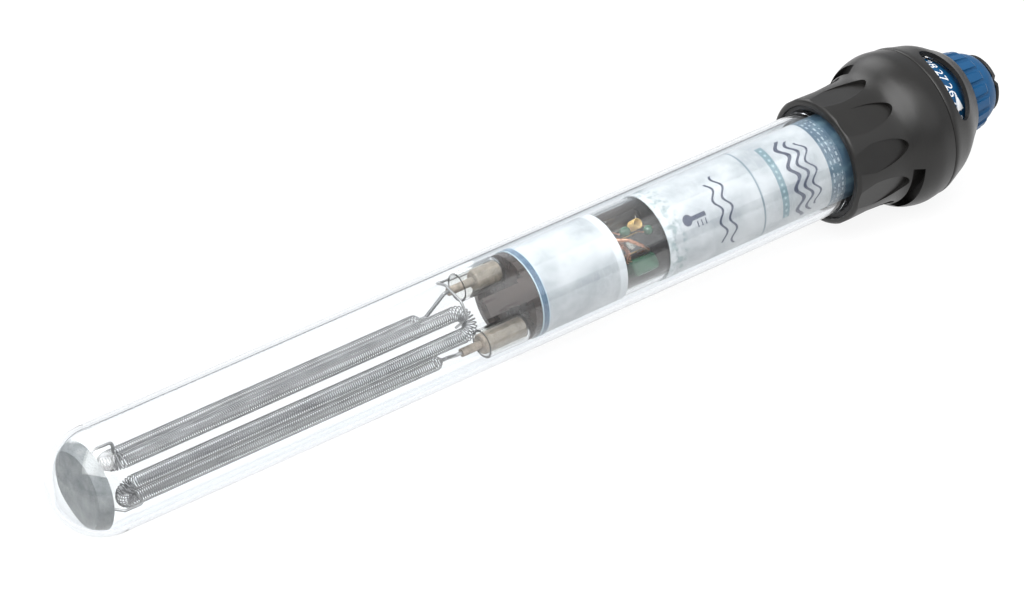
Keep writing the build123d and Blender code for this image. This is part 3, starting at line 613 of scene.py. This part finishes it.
def folded_path(step):
    """The coil's middle line, sampled at even steps, with two directions square to it at each point.

    A run is P = start + l T.  A bend is a half circle, P = centre - r E cos(l / r) + r T sin(l / r),
    where T is the way in and E points from run to run; both squares turn with it, like a wheel.
    Vectors are (station, across, out), in millimetres."""
    ends = [(tail_start, coil_low), (coil_low, coil_high), (coil_high, coil_low), (coil_low, tail_start)]
    stretches = []
    for number, (begin, end) in enumerate(ends):
        travel = np.array([np.sign(end - begin), 0.0, 0.0])
        stretches.append(("run", abs(end - begin), np.array([begin, *runs[number]]), travel, None))
        if number < 3:
            chord = np.array([0.0, *(runs[number + 1] - runs[number])]) / (2 * bend_radius)
            middle = np.array([end, *(runs[number + 1] + runs[number]) / 2])
            stretches.append(("bend", pi * bend_radius, middle, travel, chord))
    total = sum(stretch[1] for stretch in stretches)
    length = np.arange(0, total, step)
    place, first, second = (np.zeros((len(length), 3)) for _ in range(3))
    heading = np.zeros_like(place)
    square_1, square_2 = np.array([0.0, 1.0, 0.0]), np.array([0.0, 0.0, 1.0])
    done = 0.0
    for kind, reach, origin, travel, chord in stretches:
        here = (length >= done) & (length < done + reach)
        l = (length[here] - done)[:, None]
        if kind == "run":
            place[here], heading[here] = origin + l * travel, travel
            first[here], second[here] = square_1, square_2
        else:
            turn = l / bend_radius
            place[here] = origin + bend_radius * (travel * np.sin(turn) - chord * np.cos(turn))
            heading[here] = travel * np.cos(turn) + chord * np.sin(turn)
            wheel = chord * np.cos(turn) - travel * np.sin(turn)
            for target, square in ((first, square_1), (second, square_2)):
                target[here] = (square @ chord) * wheel + square - (square @ chord) * chord
            square_1, square_2 = [q - 2 * (q @ chord) * chord for q in (square_1, square_2)]
        done += reach
    return length, place, heading, first, second


length, middle, heading, first, second = folded_path(coil_pitch / steps_per_turn)
# the winding breathes a little along its length, and closes in over the last turns at each end
winding = 2 * pi * length / coil_pitch + 1.9 * np.sin(length / 9.0) + 1.1 * np.sin(length / 4.1)
from_end = np.minimum(length, length[-1] - length)
draw_down = np.clip(from_end / 2.2, 0, 1)
wind_radius = 0.35 + (coil_radius - 0.35) * draw_down * draw_down * (3 - 2 * draw_down)
spoke = np.cos(winding)[:, None] * first + np.sin(winding)[:, None] * second
wire_middle = middle + wind_radius[:, None] * spoke
wire_turn = np.linspace(0, 2 * pi, wire_sides, endpoint=False)
wire_ring = spoke[:, None] * np.cos(wire_turn)[:, None] + heading[:, None] * np.sin(wire_turn)[:, None]
wire = wire_middle[:, None, :] + coil_wire_radius * wire_ring
coil_points = at(wire[..., 0], wire[..., 1], wire[..., 2])

drawn_wire = new_finish("resistance_wire")
heat_tone = drawn_wire.noise(6.0, 2.0)
drawn_wire.end(
    drawn_wire.principled(
        Base_Color=drawn_wire.blend(heat_tone.over(0.5, 0.4), (0.38, 0.385, 0.39), (0.23, 0.23, 0.235)),
        Metallic=1.0, Roughness=0.3 + 0.15 * heat_tone,
        Normal=drawn_wire.bump(drawn_wire.noise(0.12, 1.0), 0.01)
    )
)
coil_faces = woven(len(length), wire_sides, end_caps=True)
coil_spiral = solid(
    "coil_spiral", coil_points, coil_faces, "heater", drawn_wire, crease=pi
)
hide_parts("heating_coil")
give(drawn_wire, "lower_coil_tail", "upper_coil_tail")

# ---- Hooks, bead and end pad ----
# Plain steel wire hooks carry the coil's bends.  The pad they stand on is pressed mineral fibre,
# and a glazed ceramic bead keeps one hook off it.
hook_wire = new_finish("hook_wire")
drawn = hook_wire.noise(0.4, 2.0)
hook_wire.end(
    hook_wire.principled(
        Base_Color=hook_wire.blend(drawn, (0.22, 0.22, 0.22), (0.42, 0.42, 0.42)), Metallic=1.0,
        Roughness=0.25 + 0.2 * drawn, Normal=hook_wire.bump(drawn, 0.01)
    )
)
give(hook_wire, "lower_tip_hook", "upper_tip_hook", "crown_hook")

bead_glaze = new_finish("bead_glaze")
crazing = bead_glaze.noise(0.5, 3.0)
bead_glaze.end(
    bead_glaze.principled(
        Base_Color=bead_glaze.blend(crazing, (0.62, 0.55, 0.36), (0.78, 0.73, 0.58)),
        Roughness=0.2 + 0.3 * crazing, Normal=bead_glaze.bump(crazing, 0.03)
    )
)
give(bead_glaze, "ceramic_bead")

fibre = new_finish("mineral_fibre")
fibre_clouds = fibre.noise(3.2, 4.0, roughness=0.6)
fibre_strands = fibre.noise(0.35, 4.0, stretch=(1.0, 0.4, 1.0), roughness=0.7)
fibre_colour = fibre.blend(fibre_clouds.over(0.5, 0.35), (0.15, 0.16, 0.165), (0.27, 0.28, 0.28))
fibre_colour = fibre.blend(fibre_strands.over(0.6, 0.15) * 0.4, fibre_colour, (0.13, 0.14, 0.145))
fibre.end(
    fibre.principled(
        Base_Color=fibre_colour, Roughness=0.95,
        Normal=fibre.bump(fibre_strands + 1.5 * fibre_clouds, 0.35)
    )
)
give(fibre, "end_pad")

# ---- Seals ----
# Black rubber: the gasket that closes over the tube's mouth, the stopper in it and the O-ring.
rubber = new_finish("seal_rubber")
bloom = rubber.noise(1.8, 3.0)
rubber.end(
    rubber.principled(
        Base_Color=rubber.blend(bloom, (0.006, 0.006, 0.0065), (0.016, 0.016, 0.017)),
        Roughness=0.42 + 0.3 * bloom, Normal=rubber.bump(rubber.noise(0.3, 2.0), 0.03)
    )
)
give(rubber, "tube_gasket", "tube_stopper", "dial_o_ring")

# ---- Head: shell, cap and cord post ----
# Glass-filled nylon, moulded black with a fine spark-eroded texture.  Handling has polished it a
# little in patches.
nylon = new_finish("black_nylon")
spark_grain = nylon.noise(0.16, 2.0)
polished = nylon.noise(7.0, 3.0)
nylon_colour = nylon.blend(polished, (0.0055, 0.0051, 0.0047), (0.0105, 0.0098, 0.009))
nylon.end(
    nylon.principled(
        Base_Color=nylon_colour, Roughness=0.27 + 0.12 * polished + 0.06 * spark_grain,
        Specular_IOR_Level=0.42, Normal=nylon.bump(spark_grain, 0.022)
    )
)
give(nylon, "head_shell", "top_cap", "cord_post")

# ---- Temperature dial ----
# Blue acetal: knob, scale drum and ring gear in one moulding, satin, a little paler where it is
# handled.
blue = new_finish("blue_acetal")
skin_marks = blue.noise(0.22, 2.0)
handled_blue = blue.noise(5.0, 3.0)
blue.end(
    blue.principled(
        Base_Color=blue.blend(handled_blue, (0.0035, 0.05, 0.135), (0.006, 0.075, 0.185)),
        Roughness=0.36 + 0.12 * handled_blue, Specular_IOR_Level=0.3, Normal=blue.bump(skin_marks, 0.02)
    )
)
give(blue, "dial")

# ---- Scale numerals ----
# Pad-printed white figures on the dial's drum, 18 to 34 degrees, one degree every 18 degrees of
# turn.  They turn with the dial.
dial_centre = (-1.5, 0.0)
scale_station, numeral_height = 34.9, 2.6
rest_degree, rest_turn, degree_step = 26, radians(95), radians(18)
print_depth, print_rise = 0.12, 0.05


def drum_radii(node, stations, turn, centre):
    """The radius of a CAD node's surface at some stations, measured in from outside on one turn."""
    inward = -(cos(turn) * side + sin(turn) * front)
    start = 30.0
    found = []
    for value in stations:
        origin = at(value, centre[0] + start * cos(turn), centre[1] + start * sin(turn))
        hit, spot, *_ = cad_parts[node].ray_cast(Vector(origin), Vector(inward))
        found.append(start - (spot - Vector(origin)).length / mm)
    return np.array(found)


drum_stations = np.linspace(31.0, 39.0, 17)
drum_profile = drum_radii("dial", drum_stations, rest_turn, dial_centre)


def flat_text(words, height, depth, cut_spacing=0.4):
    """A figure as a flat plate: its points and faces, cut into narrow strips so that it can bend."""
    figure = bpy.data.curves.new("figure", "FONT")
    figure.body, figure.size, figure.extrude = words, height * 1.4, depth
    figure.align_x, figure.align_y, figure.resolution_u = "CENTER", "CENTER", 4
    holder = bpy.data.objects.new("figure", figure)
    bpy.context.scene.collection.objects.link(holder)
    mesh = bpy.data.meshes.new_from_object(holder.evaluated_get(bpy.context.evaluated_depsgraph_get()))
    bpy.data.objects.remove(holder)
    plate = bmesh.new()
    plate.from_mesh(mesh)
    bmesh.ops.remove_doubles(plate, verts=plate.verts, dist=1e-5)
    for cut in np.arange(-height, height, cut_spacing):
        for axis in ((1, 0, 0), (0, 1, 0)):
            everything = plate.verts[:] + plate.edges[:] + plate.faces[:]
            bmesh.ops.bisect_plane(plate, geom=everything, plane_co=Vector(axis) * cut, plane_no=axis)
    plate.to_mesh(mesh)
    plate.free()
    points = np.zeros(len(mesh.vertices) * 3)
    mesh.vertices.foreach_get("co", points)
    faces = [list(face.vertices) for face in mesh.polygons]
    bpy.data.meshes.remove(mesh)
    return points.reshape(-1, 3), faces


def on_drum(points, turn, station):
    """Wraps flat points on the drum: x runs round it, y towards the head's end, z stands out of it."""
    stations = station + points[:, 1]
    radii = np.interp(stations, drum_stations, drum_profile) + points[:, 2]
    angle = turn - points[:, 0] / radii
    return at(stations, dial_centre[0] + radii * np.cos(angle), dial_centre[1] + radii * np.sin(angle))


numeral_points, numeral_faces, count = [], [], 0
for degree in range(18, 35):
    turn = rest_turn + (degree - rest_degree) * degree_step
    points, faces = flat_text(str(degree), numeral_height, print_depth)
    points = points - [0, 0, print_depth - print_rise]
    numeral_points.append(on_drum(points, turn, scale_station))
    numeral_faces += [[corner + count for corner in face] for face in faces]
    count += len(points)

white_ink = new_finish("white_ink")
ink_wear = white_ink.noise(0.3, 3.0)
white_ink.end(
    white_ink.principled(
        Base_Color=white_ink.blend(ink_wear.over(0.66, 0.1) * 0.4, (0.80, 0.82, 0.84), (0.35, 0.45, 0.58)),
        Roughness=0.5 + 0.2 * ink_wear, Normal=white_ink.bump(ink_wear, 0.01)
    )
)
solid(
    "scale_numerals", np.concatenate(numeral_points), numeral_faces, "temperature_dial",
    white_ink
)

# ---- Setting pointer ----
# A white wedge fixed at the end of the scale window, just clear of the drum; its point marks the
# set temperature.
pointer_turn, pointer_reach, pointer_half = radians(81.5), 2.1, 1.4
pointer_gap, pointer_thickness, pointer_station = 0.15, 0.3, scale_station + 0.7
grid_around = np.linspace(0, 1, 9)[:, None]          # from the point to the foot
grid_across = np.linspace(-1, 1, 7)[None, :]
flat_x = -pointer_reach + grid_around * 2 * pointer_reach + 0 * grid_across
flat_y = grid_across * pointer_half * np.maximum(grid_around, 0.06)
top_layer, bottom_layer = (
    np.stack([flat_x, flat_y, flat_x * 0 + height], axis=-1)
    for height in (pointer_gap + pointer_thickness, pointer_gap)
)
wedge = np.concatenate([bottom_layer, top_layer[:, ::-1]], axis=1)
wedge_points = on_drum(wedge.reshape(-1, 3), pointer_turn, pointer_station)
wedge_faces = woven(*wedge.shape[:2], end_caps=True)
solid("setting_pointer", wedge_points, wedge_faces, "heater", white_ink)

# ---- Studio ----
# A plain white table that the bulb and the tip rest on, soft light from all round and three
# softboxes, and the camera.
bulb_radius, bulb_middle = 19.2, 22.8
tip_middle = dome_station
table_slope = (bulb_radius - tube_radius) / (bulb_middle - tip_middle)
table_half = 4000.0
corner_x = np.array([-1.0, 1.0, 1.0, -1.0]) * table_half
corner_y = np.array([-1.0, -1.0, 1.0, 1.0]) * table_half
corner_z = -(tube_radius + (corner_x - tip_middle) * table_slope) / sqrt(1 - table_slope**2)
table_points = np.stack([corner_x * mm + rim, corner_y * mm, corner_z * mm], axis=1)
table_mesh = bpy.data.meshes.new("table")
table_mesh.from_pydata(table_points.tolist(), [], [[0, 1, 2, 3]])
table = bpy.data.objects.new("table", table_mesh)
bpy.context.scene.collection.objects.link(table)
paper = new_finish("white_paper")
paper.end(
    paper.principled(
        Base_Color=(0.12, 0.12, 0.12), Roughness=0.9, Specular_IOR_Level=0.1,
        Emission_Color=(1.0, 1.0, 1.0), Emission_Strength=0.89
    )
)
table_mesh.materials.append(paper.material)

world = bpy.data.worlds.new("soft_light")
bpy.context.scene.world = world
sky = Finish(world)
height = sky.node("ShaderNodeTexCoord", out="Generated").dot((0, 0, 1))
sky_stops = [(0.0, (0.42, 0.43, 0.45)), (0.25, (0.75, 0.77, 0.80)), (1.0, (1.0, 1.0, 1.0))]
sky_colour = sky.node("ShaderNodeValToRGB", {"stops": sky_stops}, {"Fac": height})
background = sky.node("ShaderNodeBackground", None, {"Color": sky_colour, "Strength": 0.75})
sky.node("ShaderNodeOutputWorld", None, {"Surface": background})


def softbox(name, place, aim, size, power):
    """A square area light at a place in metres, turned to face its aim."""
    light = bpy.data.lights.new(name, "AREA")
    light.shape, light.size, light.energy = "SQUARE", size, power
    lamp = bpy.data.objects.new(name, light)
    lamp.location = place
    lamp.rotation_euler = (Vector(aim) - Vector(place)).to_track_quat("-Z", "Y").to_euler()
    bpy.context.scene.collection.objects.link(lamp)


softbox("key_light", (-0.35, -0.25, 0.95), (0, 0, 0), 1.1, 18)
softbox("head_light", (0.45, -0.75, 0.75), (0.1, 0, 0), 1.1, 3)
softbox("far_light", (0.2, 0.9, 0.6), (0, 0, 0), 0.8, 5)

camera = bpy.data.cameras.new("camera")
camera.lens, camera.sensor_width, camera.clip_end = 236.7, 36.0, 50.0
camera_stand = bpy.data.objects.new("camera", camera)
camera_stand.location = (-0.800946, -1.013308, 0.861625)
camera_stand.rotation_euler = Vector((0.52156, 0.65004, -0.55265)).to_track_quat("-Z", "Y").to_euler()
bpy.context.scene.collection.objects.link(camera_stand)
bpy.context.scene.camera = camera_stand
bpy.context.scene.view_settings.view_transform = "Standard"
